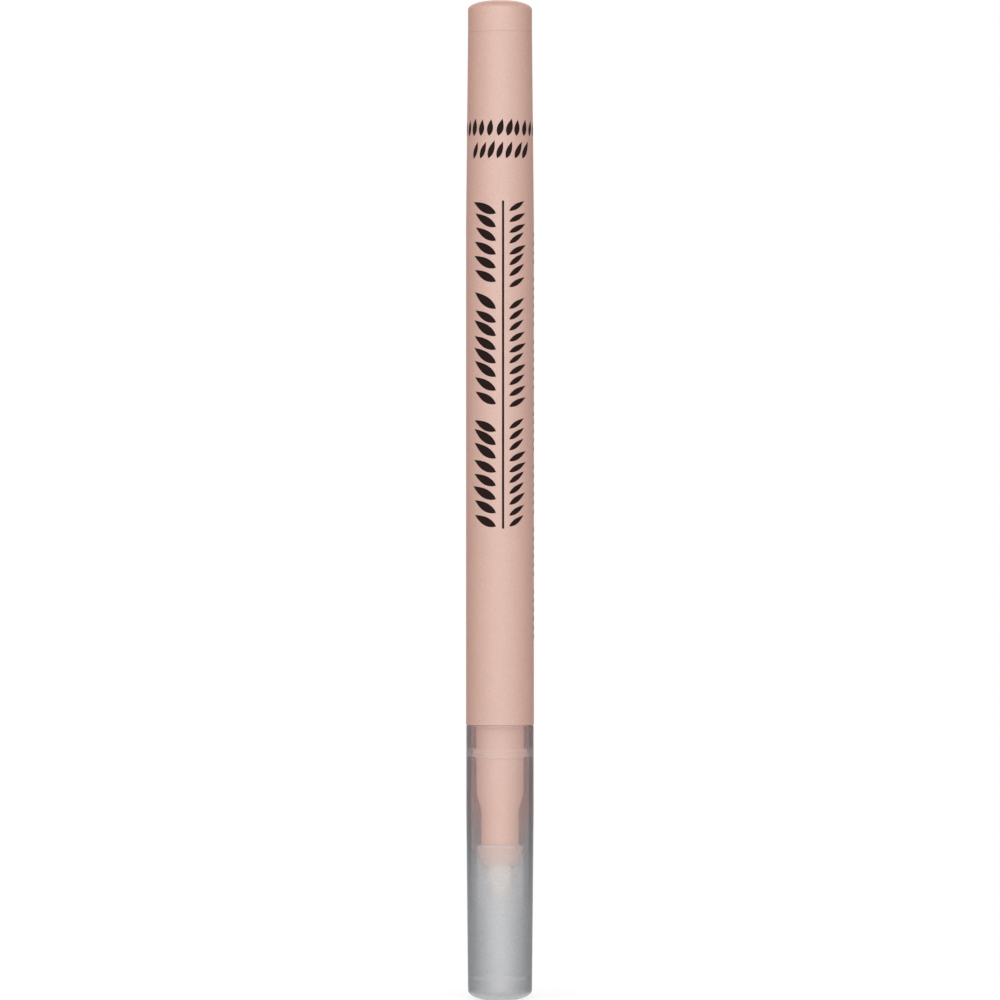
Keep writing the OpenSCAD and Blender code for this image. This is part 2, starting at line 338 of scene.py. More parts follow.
# %% [markdown]
# The barrel and its plug are one rose plastic with a fine matt finish. Its colour is written as it
# looks under plain light. One rough gloss could do for it, but it would turn both edges pale. So a
# soft coat gives the sheen down the middle, and it thins out to the edges, because this matt skin,
# unlike a varnish, doesn't mirror the room at a flat angle.

# %% Rose plastic
ROSE = (0.700, 0.432, 0.354)
EVEN_BLEND = 0.5


def new_finish(name):
    """Material, the tree in it and its Principled shader."""
    material = bpy.data.materials.new(name)
    material.use_nodes = True
    print(f"finish {name}")
    return material, material.node_tree, material.node_tree.nodes["Principled BSDF"]


def wire(tree, skin, **values):
    """Sets or links sockets of a shader by name, with underscores for spaces."""
    for name, value in values.items():
        socket = skin.inputs[name.replace("_", " ")]
        if isinstance(value, bpy.types.NodeSocket):
            tree.links.new(value, socket)
        else:
            socket.default_value = value


def bumped(tree, height, depth):
    """Normal of a surface that a height of 0 to 1 raises by a depth in millimetres."""
    inputs = {"Height": height, "Strength": 1.0, "Distance": depth * MM}
    return node(tree, "ShaderNodeBump", inputs).outputs[0]


def add_grain(tree, skin, colour, size, drift, rough, rough_drift, depth):
    """Colour, roughness and bump of one moulded surface. Its grain is given back."""
    inputs = {
        "Grain size": size,
        "Shade drift": drift,
        "Roughness": rough,
        "Roughness drift": rough_drift,
    }
    grain = node(tree, "ShaderNodeGroup", inputs, node_tree=moulded_grain).outputs
    shaded = scale_colour(tree, colour, grain["Shade"])
    bump = bumped(tree, grain["Height"], depth)
    wire(tree, skin, Base_Color=shaded, Roughness=grain["Roughness"], Normal=bump)
    return grain["Height"]


def edge_on(tree):
    """0 where a surface is seen squarely, and 1 where it is seen edge on."""
    return node(tree, "ShaderNodeLayerWeight", {"Blend": EVEN_BLEND}).outputs["Facing"]


def add_sheen(tree, skin, fall, rough, ior, gloss):
    """Soft coat that thins out towards the edges, over a skin with a gloss of its own."""
    sheen = calc(tree, "POWER", calc(tree, "SUBTRACT", 1.0, edge_on(tree)), fall)
    wire(tree, skin, Coat_Weight=sheen, Coat_Roughness=rough, Coat_IOR=ior)
    wire(tree, skin, Specular_IOR_Level=gloss)


def rose_finish():
    """Rose plastic of the barrel and its plug."""
    material, tree, skin = new_finish("rose_plastic_matt")
    add_grain(tree, skin, ROSE, size=0.14, drift=0.5, rough=0.6, rough_drift=0.08, depth=0.004)
    add_sheen(tree, skin, fall=3.0, rough=0.7, ior=2.5, gloss=0.03)
    return material


rose_plastic = rose_finish()

# %% [markdown]
# The cap and its inner sleeve are clouded plastics. Looked at squarely, such a wall shows what is
# inside, bent and a little blurred, and towards its edges it closes up. A scattering volume would
# be the physical way, but it stays noisy for long, so the two faces of the wall are clouded
# instead. Three numbers come with the mesh: haze is how cloudy the wall is, inner marks its inner
# face, and bends marks where it bends the view. The outer face also scatters passing light.

# %% Clouding
RIM_CLOSING = 6.0


def number_on_mesh(tree, name):
    """Value of one of the mesh's own attributes."""
    return node(tree, "ShaderNodeAttribute", attribute_name=name).outputs["Fac"]


def from_behind(tree):
    """1 where a face is seen from its back, as on the wall away from the camera."""
    return node(tree, "ShaderNodeNewGeometry").outputs["Backfacing"]


def wall_cover(tree, grain, speckle, closing, far_wall):
    """How much of its own colour a wall shows: by its haze, by its angle and by its side."""
    edge = edge_on(tree)
    haze = number_on_mesh(tree, "haze")
    inner = number_on_mesh(tree, "inner")
    veil = blend(tree, calc(tree, "POWER", edge, closing), haze, 1.0)
    uneven = calc(tree, "SUBTRACT", grain, NOISE_MIDDLE)
    veil = calc(tree, "MULTIPLY_ADD", uneven, speckle, veil)
    front = blend(tree, inner, veil, far_wall)
    rim = calc(tree, "SUBTRACT", 1.0, calc(tree, "POWER", edge, RIM_CLOSING))
    back = blend(tree, inner, rim, haze)
    return blend(tree, from_behind(tree), front, back)


def add_haze(tree, skin, cover, bend, blur, glow, stop):
    """Clouds a wall. Looked at, it is its own skin by its cover, and elsewhere what is behind it,
    bent and blurred. The outer face scatters a share of the light: glow is that share for light
    that is on its way round inside, and stop is the share that lamps lose."""
    rays = node(tree, "ShaderNodeLightPath").outputs
    outer = calc(tree, "SUBTRACT", 1.0, number_on_mesh(tree, "inner"))
    straight = node(tree, "ShaderNodeBsdfTransparent", {"Color": WHITE}).outputs[0]
    glassy = {"Color": WHITE, "Roughness": blur, "IOR": bend}
    bent = node(tree, "ShaderNodeBsdfRefraction", glassy).outputs[0]
    scattered = node(tree, "ShaderNodeBsdfTranslucent", {"Color": WHITE}).outputs[0]
    through = blend_shaders(tree, number_on_mesh(tree, "bends"), straight, bent)
    seen = blend_shaders(tree, cover, through, skin.outputs[0])
    bounced = blend_shaders(tree, calc(tree, "MULTIPLY", outer, glow), straight, scattered)
    lit = blend_shaders(tree, calc(tree, "MULTIPLY", outer, stop), straight, scattered)
    whole = blend_shaders(tree, rays["Is Reflection Ray"], seen, bounced)
    whole = blend_shaders(tree, rays["Is Shadow Ray"], whole, lit)
    tree.links.new(whole, tree.nodes["Material Output"].inputs["Surface"])


print("clouded walls can be made")

# %% [markdown]
# The cap's colour changes with height. Round the neck its wall carries a pink tint, a painted
# reflection of the rose neck, which stays on the cap when the pen is out. Below the nose it is
# greyer. The thick moulding at the foot is paler, partly as painted light that lifts the shade
# under the foot. The far wall, seen from inside, is the grey on both sides of the neck, and takes
# the same painted rose reflection where the rose is near. Inner faces seen from behind are white,
# a painted highlight that gives pale lines at the mouth and at the snap ring. Vertex colours could
# say all this, but height is read from Object coordinates just as well. The sleeve is one milky
# white.

# %% Frosted and milky plastic
# FROST round the neck holds a painted pink reflection of the rose neck.
FROST = (0.365, 0.31, 0.312, 1)
FROST_LOW = (0.350, 0.360, 0.377, 1)
FROST_BEHIND = (0.34, 0.33, 0.335, 1)
# Painted reflection of the rose neck on the far wall, seen from inside.
FROST_PAINTED_ROSE_REFLECTION = (0.44, 0.31, 0.305, 1)
# Paler foot: the thick moulding, and painted light that lifts the shade under the foot.
FROST_FOOT_PAINTED_LIFT = (0.86, 0.86, 0.87, 1)
FOOT_FROM = 0.3
FOOT_TO = 1.6
# Heights over which the painted rose reflection comes in.
ROSE_REFLECTION_FROM = 20.0
ROSE_REFLECTION_TO = 28.0
MILK = (0.67, 0.645, 0.65)


def frost_colour(tree):
    """Colour of the cap's wall by height and side, with painted reflection, light and highlight."""
    height = node(tree, "ShaderNodeSeparateXYZ", {0: object_place(tree)}).outputs["Z"]
    # Near the neck: a painted pink reflection of the rose, on both faces of the wall.
    painted_reflection_share = smooth_rise(tree, height, ROSE_REFLECTION_FROM * MM, ROSE_REFLECTION_TO * MM)
    # Low down: the paler foot, partly painted light that lifts the shade under it.
    above_foot = smooth_rise(tree, height, FOOT_FROM * MM, FOOT_TO * MM)
    behind = blend_colour(tree, painted_reflection_share, FROST_BEHIND, FROST_PAINTED_ROSE_REFLECTION)
    # Inner faces seen from behind are white: a painted highlight at the ring and the mouth.
    behind = blend_colour(tree, from_behind(tree), behind, WHITE)
    outside = blend_colour(tree, painted_reflection_share, FROST_LOW, FROST)
    outside = blend_colour(tree, above_foot, FROST_FOOT_PAINTED_LIFT, outside)
    return blend_colour(tree, number_on_mesh(tree, "inner"), outside, behind)


def frosted_finish():
    """Frosted plastic of the cap."""
    material, tree, skin = new_finish("frosted_plastic_clouded")
    colour = frost_colour(tree)
    grain = add_grain(
        tree, skin, colour, size=0.16, drift=0.5, rough=0.5, rough_drift=0.06, depth=0.005
    )
    add_sheen(tree, skin, fall=5.0, rough=0.6, ior=3.0, gloss=0.05)
    cover = wall_cover(tree, grain, speckle=0.2, closing=0.85, far_wall=0.96)
    add_haze(tree, skin, cover, bend=1.15, blur=0.26, glow=0.40, stop=0.85)
    return material


def milky_finish():
    """Milky plastic of the sleeve inside the cap."""
    material, tree, skin = new_finish("milky_plastic_clouded")
    grain = add_grain(
        tree, skin, MILK, size=0.2, drift=0.04, rough=0.5, rough_drift=0.05, depth=0.004
    )
    wire(tree, skin, Specular_IOR_Level=0.05)
    cover = wall_cover(tree, grain, speckle=0.0, closing=20.0, far_wall=0.95)
    add_haze(tree, skin, cover, bend=1.1, blur=0.1, glow=0.1, stop=0.1)
    return material


frosted_plastic = frosted_finish()
milky_plastic = milky_finish()

# %% [markdown]
# The nib and the reservoir are bundles of fibres that run along the pen. Each fibre could be a
# curve, but thousands of them would never be told apart here. Noise that is stretched along the
# axis gives the same strands, and both bundles share one group for it.

# %% Fibres
NIB_COLOUR = (0.90, 0.76, 0.645)
RESERVOIR_COLOUR = (0.80, 0.80, 0.78)
FIBRE_STRETCH = (1, 1, 0.08)
FIBRE_DETAIL = 3.0
FIBRE_ROUGHNESS = 0.9


def fibre_group():
    """Strands along Z: a shade round 1 and a height for bump."""
    tree = bpy.data.node_groups.new("pressed_fibres", "ShaderNodeTree")
    add_sockets(tree, "INPUT", Strand_width="Float", Shade_drift="Float")
    add_sockets(tree, "OUTPUT", Shade="Float", Height="Float")
    given = node(tree, "NodeGroupInput").outputs
    stretch = {"Vector": object_place(tree), "Scale": FIBRE_STRETCH}
    drawn = node(tree, "ShaderNodeMapping", stretch).outputs[0]
    scale = calc(tree, "DIVIDE", 1 / MM, given["Strand width"])
    strands = noise(tree, drawn, scale, FIBRE_DETAIL)
    uneven = calc(tree, "SUBTRACT", strands, NOISE_MIDDLE)
    shade = calc(tree, "MULTIPLY_ADD", uneven, given["Shade drift"], 1.0)
    node(tree, "NodeGroupOutput", {"Shade": shade, "Height": strands})
    print(f"{tree.name}: {len(tree.nodes)} nodes")
    return tree


pressed_fibres = fibre_group()


def fibre_finish(name, colour, width, drift, depth):
    """Matt fibre bundle of one colour."""
    material, tree, skin = new_finish(name)
    inputs = {"Strand width": width, "Shade drift": drift}
    strands = node(tree, "ShaderNodeGroup", inputs, node_tree=pressed_fibres).outputs
    shaded = scale_colour(tree, colour, strands["Shade"])
    bump = bumped(tree, strands["Height"], depth)
    wire(tree, skin, Base_Color=shaded, Normal=bump, Roughness=FIBRE_ROUGHNESS)
    return material


nib_fibre = fibre_finish("nib_fibre_pressed", NIB_COLOUR, width=0.09, drift=0.25, depth=0.03)
reservoir_fibre = fibre_finish(
    "reservoir_fibre_bonded", RESERVOIR_COLOUR, width=0.06, drift=0.3, depth=0.03
)

# %% [markdown]
# Every piece of the pen is turned on one axis, so one tree makes them all. A Screw modifier could
# turn an outline too, but the tree says openly where each column goes. It takes half an outline as
# a line of points in the XZ plane, lays out a grid with one column for each step round the axis,
# and puts each column where the outline is when it is turned that far. The three attributes of
# the clouded plastics are carried from the outline to the grid.

# %% Lathe tree
STEPS_ROUND = 144
CLOSE_UP = 0.0004
ATTRIBUTES = ("haze", "inner", "bends")


def sampled(tree, outline, value, row, kind):
    """Value that the outline's point of this row has."""
    inputs = {"Geometry": outline, "Value": value, "Index": row}
    made = node(tree, "GeometryNodeSampleIndex", inputs, data_type=kind, domain="POINT")
    return made.outputs[0]


def placed_at(tree, geometry, place):
    """Geometry with its points put in a new place."""
    inputs = {"Geometry": geometry, "Position": place}
    return node(tree, "GeometryNodeSetPosition", inputs).outputs[0]


def merged(tree, geometry, distance):
    """Geometry with points that lie closer than a distance made one."""
    inputs = {"Geometry": geometry, "Distance": distance}
    return node(tree, "GeometryNodeMergeByDistance", inputs).outputs[0]


def finished(tree, geometry, finish):
    """Last steps of a tree: its instances are made real, and it gets its finish."""
    real = node(tree, "GeometryNodeRealizeInstances", {"Geometry": geometry}).outputs[0]
    inputs = {"Geometry": real, "Material": finish}
    return node(tree, "GeometryNodeSetMaterial", inputs).outputs[0]


def lathe_tree():
    """Tree that turns an outline round Z, with its attributes."""
    tree = bpy.data.node_groups.new("turned_on_a_lathe", "GeometryNodeTree")
    add_sockets(
        tree, "INPUT", Outline="Geometry", Steps_round="Int", Close_up="Float", Finish="Material"
    )
    add_sockets(tree, "OUTPUT", Turned="Geometry")
    given = node(tree, "NodeGroupInput").outputs
    outline = given["Outline"]
    size = node(tree, "GeometryNodeAttributeDomainSize", {"Geometry": outline})
    rows = size.outputs["Point Count"]
    columns = calc(tree, "ADD", given["Steps round"], 1)
    grid = node(tree, "GeometryNodeMeshGrid", {"Vertices X": columns, "Vertices Y": rows})
    index = node(tree, "GeometryNodeInputIndex").outputs[0]
    row = calc(tree, "MODULO", index, rows)
    column = calc(tree, "FLOOR", calc(tree, "DIVIDE", index, rows))
    place = node(tree, "GeometryNodeInputPosition").outputs[0]
    at = sampled(tree, outline, place, row, "FLOAT_VECTOR")
    angle = calc(tree, "MULTIPLY", calc(tree, "DIVIDE", column, given["Steps round"]), math.tau)
    inputs = {"Vector": at, "Angle": angle}
    turned = node(tree, "ShaderNodeVectorRotate", inputs, rotation_type="Z_AXIS").outputs[0]
    shape = placed_at(tree, grid.outputs["Mesh"], turned)
    for name in ATTRIBUTES:
        own = node(tree, "GeometryNodeInputNamedAttribute", {"Name": name}, data_type="FLOAT")
        carried = sampled(tree, outline, own.outputs[0], row, "FLOAT")
        inputs = {"Geometry": shape, "Name": name, "Value": carried}
        shape = node(
            tree, "GeometryNodeStoreNamedAttribute", inputs, data_type="FLOAT", domain="POINT"
        ).outputs[0]
    closed = merged(tree, shape, given["Close up"])
    node(tree, "NodeGroupOutput", {"Turned": finished(tree, closed, given["Finish"])})
    print(f"{tree.name}: {len(tree.nodes)} nodes")
    return tree


lathe = lathe_tree()

# %% [markdown]
# A tree runs as a modifier on a starting mesh. The modifier could stay on the piece, but a plain
# mesh can be measured, joined and moved like any other. So the evaluated mesh is copied, and the
# modifier is removed. An input is set by its identifier, which is how the modifier knows it.

# %% Running a tree
def run_tree(name, mesh, tree, **values):
    """Runs a tree on a mesh with its named inputs set, and leaves a plain mesh object."""
    piece = bpy.data.objects.new(name, mesh)
    bpy.context.scene.collection.objects.link(piece)
    modifier = piece.modifiers.new("tree", "NODES")
    modifier.node_group = tree
    for item in tree.interface.items_tree:
        key = item.name.replace(" ", "_")
        if item.in_out == "INPUT" and key in values:
            modifier[item.identifier] = values[key]
    graph = bpy.context.evaluated_depsgraph_get()
    made = bpy.data.meshes.new_from_object(
        piece.evaluated_get(graph), preserve_all_data_layers=True, depsgraph=graph
    )
    piece.modifiers.clear()
    piece.data = made
    made.name = name
    return piece


print(f"{len(bpy.data.node_groups)} groups and trees so far")

# %% [markdown]
# An outline is a list of points, each with a radius and a height in millimetres. A Bevel modifier
# could round its corners, but drawn as quarters of an ellipse they have the very size that is
# written. Clouded pieces add three more numbers to a point: its haze, whether it is on the inner
# face, and whether the view is bent there.

# %% Outlines
SHARP_ANGLE = 40
CORNER_STEPS = 8


def quarter(start, end, level=False, steps=CORNER_STEPS):
    """Quarter of an ellipse. It leaves the first point upright, or level where level is true."""
    points = []
    for i in range(steps + 1):
        angle = math.pi / 2 * i / steps
        across = math.sin(angle) if level else 1 - math.cos(angle)
        up = 1 - math.cos(angle) if level else math.sin(angle)
        points.append(
            (start[0] + (end[0] - start[0]) * across, start[1] + (end[1] - start[1]) * up)
        )
    return points


def bead(wall_r, crest_r, z_from, z_to):
    """Round bead that stands out of a wall between two heights."""
    middle = (z_from + z_to) / 2
    return quarter((wall_r, z_from), (crest_r, middle), True) + quarter(
        (crest_r, middle), (wall_r, z_to)
    )


def face_outwards(mesh):
    """Turns the faces of a closed mesh outwards where its volume comes out negative."""
    shape = bmesh.new()
    shape.from_mesh(mesh)
    if shape.calc_volume(signed=True) < 0:
        bmesh.ops.reverse_faces(shape, faces=shape.faces)
    shape.to_mesh(mesh)
    shape.free()


def turn(name, outline, finish):
    """Turned piece. A point holds its radius, its height and any values for the attributes."""
    mesh = bpy.data.meshes.new(name + "_outline")
    mesh.from_pydata(
        [(p[0] * MM, 0, p[1] * MM) for p in outline],
        [(i, i + 1) for i in range(len(outline) - 1)],
        [],
    )
    for column, attribute in enumerate(ATTRIBUTES, start=2):
        layer = mesh.attributes.new(attribute, "FLOAT", "POINT")
        layer.data.foreach_set("value", [p[column] if column < len(p) else 0.0 for p in outline])
    piece = run_tree(
        name, mesh, lathe, Steps_round=STEPS_ROUND, Close_up=CLOSE_UP * MM, Finish=finish
    )
    face_outwards(piece.data)
    piece.data.shade_smooth()
    piece.data.set_sharp_from_angle(angle=math.radians(SHARP_ANGLE))
    print(f"{name}: {len(piece.data.polygons)} faces")
    return piece


print(f"corners in {CORNER_STEPS} steps, pieces in {STEPS_ROUND}")

# %% [markdown]
# The barrel, neck, cone and nose are one moulding. Seen through the cap, the neck has a small
# fillet at its root and a snap bead, then it drops over a cone to the nose. The bore is stepped:
# wide for the reservoir, narrower in the neck, and just wide enough for the nib and its ribs.
# Booleans could cut that bore, but one closed outline holds the outside and the bore alike.

# %% Barrel
NECK_L = 9.7
CONE_L = 2.3
NOSE_L = 6.6
TIP_DROP = 0.5
NECK_R = 3.25
NECK_ROOT_R = 3.35
NECK_BORE_R = 2.5
NOSE_R = 2.6
NOSE_BORE_R = 1.85
ROOT_FILLET_H = 0.3
ROOT_FILLET_W = 0.18
BEAD_Z = 34.1
BEAD_H = 0.1
BEAD_W = 0.75
SHOULDER_ROUND = 0.06
STEP_T = 1.0
BORE_R = 3.6
TAPER_L = 26.5
RIM_CHAMFER = 0.15
NOSE_WALL = 0.75

neck_end_z = mouth_z - NECK_L
nose_top_z = neck_end_z - CONE_L
tip_top_z = nose_top_z - NOSE_L
nose_floor_z = neck_end_z + NOSE_WALL
step_z = mouth_z + STEP_T


def neck_at(z):
    """Radius of the neck at a height."""
    return NECK_R + (NECK_ROOT_R - NECK_R) * (z - neck_end_z) / NECK_L


def barrel_outline():
    """Up the outside from the nose to the tail, and back down the stepped bore."""
    fillet_z = mouth_z - ROOT_FILLET_H
    outside = (
        [
            (NOSE_R - TIP_DROP, tip_z),
            (NOSE_R, tip_top_z),
            (NOSE_R, nose_top_z),
            (NECK_R, neck_end_z),
        ]
        + bead(
            neck_at(BEAD_Z), neck_at(BEAD_Z) + BEAD_H, BEAD_Z - BEAD_W / 2, BEAD_Z + BEAD_W / 2
        )
        + quarter((neck_at(fillet_z), fillet_z), (NECK_ROOT_R + ROOT_FILLET_W, mouth_z))
        + quarter((barrel_r - SHOULDER_ROUND, mouth_z), (barrel_r, mouth_z + SHOULDER_ROUND), True)
        + [(barrel_r, seam_z - TAPER_L), (tail_r, seam_z)]
    )
    inside = [
        (BORE_R + RIM_CHAMFER, seam_z),
        (BORE_R, seam_z - RIM_CHAMFER),
        (BORE_R, step_z),
        (NECK_BORE_R, step_z),
        (NECK_BORE_R, nose_floor_z),
        (NOSE_BORE_R, nose_floor_z),
        (NOSE_BORE_R, tip_z),
    ]
    return outside + inside + outside[:1]


barrel_piece = turn("barrel_moulding", barrel_outline(), rose_plastic)

# %% [markdown]
# Ribs run along the bore and hold the reservoir, and shorter ones in the nose grip the nib. They
# stand evenly round the axis. An Array modifier could repeat a rib round an empty object, but a
# tree needs no second object and has the number of ribs as a named input.

# %% Rib tree
def turned_by(tree, angle):
    """Rotation round Z by an angle."""
    euler = node(tree, "ShaderNodeCombineXYZ", {"Z": angle}).outputs[0]
    return node(tree, "FunctionNodeEulerToRotation", {0: euler}).outputs[0]


def rib_ring_tree():
    """Tree that repeats a rib round Z."""
    tree = bpy.data.node_groups.new("ribs_round_the_axis", "GeometryNodeTree")
    add_sockets(tree, "INPUT", Rib="Geometry", Count="Int", Finish="Material")
    add_sockets(tree, "OUTPUT", Ribs="Geometry")
    given = node(tree, "NodeGroupInput").outputs
    line = {"Count": given["Count"], "Offset": (0, 0, 0)}
    spots = node(tree, "GeometryNodeMeshLine", line).outputs[0]
    index = node(tree, "GeometryNodeInputIndex").outputs[0]
    angle = calc(tree, "MULTIPLY", calc(tree, "DIVIDE", index, given["Count"]), math.tau)
    inputs = {"Points": spots, "Instance": given["Rib"], "Rotation": turned_by(tree, angle)}
    placed = node(tree, "GeometryNodeInstanceOnPoints", inputs).outputs[0]
    node(tree, "NodeGroupOutput", {"Ribs": finished(tree, placed, given["Finish"])})
    print(f"{tree.name}: {len(tree.nodes)} nodes")
    return tree


rib_ring = rib_ring_tree()

# %% [markdown]
# A rib is one small block, rooted a little way into the wall, with a lead-in at its upper end. In
# the wide bore, that is where the reservoir is pushed in. The ribs could be pieces of their own,
# but they come from the same mould as the barrel, so they are added to its mesh. Between the ribs
# of the nose, air gets in as the liquid leaves.

# %% Ribs in place
BORE_RIBS = 6
BORE_RIB_H = 0.31
BORE_RIB_W = 0.6
NOSE_RIBS = 4
NOSE_RIB_H = 0.33
NOSE_RIB_W = 0.7
RIB_ROOT = 0.1


def rib_block(name, tip_r, wall_r, width, low_z, high_z):
    """One rib on the +X side, rooted a little way into the wall."""
    lead = (wall_r - tip_r) / 2
    side = [
        (tip_r, low_z),
        (wall_r + RIB_ROOT, low_z),
        (wall_r + RIB_ROOT, high_z),
        (tip_r + lead, high_z),
        (tip_r, high_z - lead),
    ]
    count = len(side)
    corners = [(r * MM, y * MM, z * MM) for y in (-width / 2, width / 2) for r, z in side]
    faces = [list(range(count)), list(range(2 * count - 1, count - 1, -1))]
    for i in range(count):
        j = (i + 1) % count
        faces.append([i, i + count, j + count, j])
    mesh = bpy.data.meshes.new(name)
    mesh.from_pydata(corners, [], faces)
    face_outwards(mesh)
    return mesh


def join_ribs(piece, name, count, block):
    """Repeats a rib round the axis and adds the ribs to a piece's mesh."""
    ring = run_tree(name, block, rib_ring, Count=count, Finish=piece.data.materials[0])
    shape = bmesh.new()
    shape.from_mesh(piece.data)
    shape.from_mesh(ring.data)
    shape.to_mesh(piece.data)
    shape.free()
    bpy.data.objects.remove(ring)
    piece.data.set_sharp_from_angle(angle=math.radians(SHARP_ANGLE))
    print(f"{name}: {count} ribs")


bore_block = rib_block(
    "bore_rib", BORE_R - BORE_RIB_H, BORE_R, BORE_RIB_W, step_z, spigot_z - RIM_CHAMFER
)
nose_block = rib_block(
    "nose_rib",
    NOSE_BORE_R - NOSE_RIB_H,
    NOSE_BORE_R,
    NOSE_RIB_W,
    tip_z + RIM_CHAMFER,
    nose_floor_z,
)
join_ribs(barrel_piece, "bore_ribs", BORE_RIBS, bore_block)
join_ribs(barrel_piece, "nose_ribs", NOSE_RIBS, nose_block)
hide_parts("barrel")
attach(barrel_piece, "pen")

# %% [markdown]
# The end plug closes the tail. Its head is domed, and a fine chamfer where it meets the barrel
# leaves the hairline seam that the photograph shows. The hollow spigot below has two sealing rings.
# A flattened sphere could make the dome, but a quarter of an ellipse in the outline runs into the
# head's straight side without an edge.

# %% End plug
DOME_H = 1.3
DOME_FLAT_R = 0.5
DOME_STEPS = 16
SEAM_CHAMFER = 0.04
PLUG_RING_R = 3.57
SPIGOT_R = 3.47
SPIGOT_IN_R = 2.57
HEAD_WALL = 1.6
RING_PITCH = 2.2
RING_W = 0.9
RINGS = 2


def plug_outline():
    """Down the outside from the top of the dome, and back up inside the spigot."""
    head = [(0, top_z)]
    head += quarter((DOME_FLAT_R, top_z), (tail_r, top_z - DOME_H), True, steps=DOME_STEPS)
    head += [(tail_r, seam_z + SEAM_CHAMFER), (tail_r - SEAM_CHAMFER, seam_z), (SPIGOT_R, seam_z)]
    rings = []
    for i in range(1, RINGS + 1):
        z = seam_z - i * RING_PITCH
        rings += bead(SPIGOT_R, PLUG_RING_R, z + RING_W / 2, z - RING_W / 2)
    hollow_z = top_z - HEAD_WALL
    round_in = SPIGOT_R - SPIGOT_IN_R
    end = [
        (SPIGOT_R, spigot_z + RIM_CHAMFER),
        (SPIGOT_R - RIM_CHAMFER, spigot_z),
        (SPIGOT_IN_R, spigot_z),
    ]
    end += quarter((SPIGOT_IN_R, hollow_z - round_in), (SPIGOT_IN_R - round_in, hollow_z))
    return head + rings + end + [(0, hollow_z)]


plug_piece = turn("end_plug_moulding", plug_outline(), rose_plastic)
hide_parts("end_plug")
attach(plug_piece, "pen")

# %% [markdown]
# The nib is a pressed fibre bullet. A cone with a ball on it could stand for it, but a line would
# show where the two meet. Here the arc of the point ends at the cone's own slope, so the cone runs
# into the round point without a corner.

# %% Nib
NIB_SLOPE = math.radians(20)
POINT_SHARE = 0.53
POINT_STEPS = 10
NIB_CHAMFER = 0.3


def nib_outline():
    """Up from the point, over the cone and the straight body to the flat rear."""
    point_r = nib_r * POINT_SHARE
    points = []
    for i in range(POINT_STEPS + 1):
        angle = (math.pi / 2 - NIB_SLOPE) * i / POINT_STEPS
        points.append((point_r * math.sin(angle), point_z + point_r * (1 - math.cos(angle))))
    edge_r, edge_z = points[-1]
    body_z = edge_z + (nib_r - edge_r) / math.tan(NIB_SLOPE)
    return points + [
        (nib_r, body_z),
        (nib_r, nib_rear_z - NIB_CHAMFER),
        (nib_r - NIB_CHAMFER, nib_rear_z),
        (0, nib_rear_z),
    ]


nib_piece = turn("nib_bullet", nib_outline(), nib_fibre)
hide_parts("nib")
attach(nib_piece, "pen")

# %% [markdown]
# How cloudy the cap looks depends on what its wall does there. It is dense at the moulded foot and
# round the lower sleeve, a little less so over the ring that holds the sleeve, and nearly clear
# from the sleeve's mouth up. One haze could do for the whole wall, but then either the neck would
# sink in it or the foot would show through. So each height of the outline has its own.

# %% Haze of the cap
CLEAR_HAZE = 0.01
FOOT_HAZE = 0.9
HOLD_HAZE = 0.6
FLOOR_HAZE = 0.85
LOW_HAZE = 0.65
TIP_HAZE = 0.36
RIM_HAZE = 0.35
RIM_FADE = 0.05
# Share of the painted white highlight on the snap ring's crest.
RING_HIGHLIGHT_HAZE = 0.15
END_HAZE = 0.1
WALL_HAZE = (
    # height and haze of the outer face, from above the foot to the sleeve's mouth
    (1.8, FLOOR_HAZE),
    (2.6, FLOOR_HAZE),
    (2.9, HOLD_HAZE),
    (3.4, HOLD_HAZE),
    (3.7, FLOOR_HAZE),
    (10.0, FLOOR_HAZE),
    (14.2, LOW_HAZE),
    (tip_z, TIP_HAZE),
    (sleeve_top_z, CLEAR_HAZE),
)


def clouded(points, haze, inner, bends=1.0):
    """Adds the haze, the side and the bending to plain outline points."""
    return [(r, z, haze, inner, bends) for r, z in points]


print(f"haze given at {len(WALL_HAZE)} heights of the cap")

# %% [markdown]
# The frosted cap stands on its closed end. Near its mouth a snap ring runs round the inside, and
# near its floor a groove holds the inner cap. The ring's crest shows a pale line across the neck,
# which is a painted white highlight. Solidify could give a single face its wall, but ring and
# groove are on the inner face alone, so both faces are drawn.

# %% Cap
CAP_DROP = 0.235
CAP_WALL = 0.65
CAP_STRAIGHT_L = 12.0
CAP_ROUND_H = 1.4
CAP_END_T = 1.0
FOOT_R = 1.5
FOOT_STEPS = 12
GATE_R = 0.9
GATE_H = 0.15
MOUTH_GAP = 0.03
MOUTH_ROUND = 0.15
MOUTH_CHAMFER = 0.15
SNAP_Z = 34.65
SNAP_R = 3.455
SNAP_W = 1.15
SNAP_FLAT_SHARE = 0.2
HOLD_Z = 3.1
HOLD_W = 0.8
HOLD_GROOVE = 0.12
SLEEVE_R = 3.25


def cap_at(z):
    """Outer radius of the cap's tapered wall at a height."""
    low = cap_r - CAP_DROP
    share = (z - CAP_ROUND_H) / (mouth_z - CAP_STRAIGHT_L - CAP_ROUND_H)
    return low + CAP_DROP * share


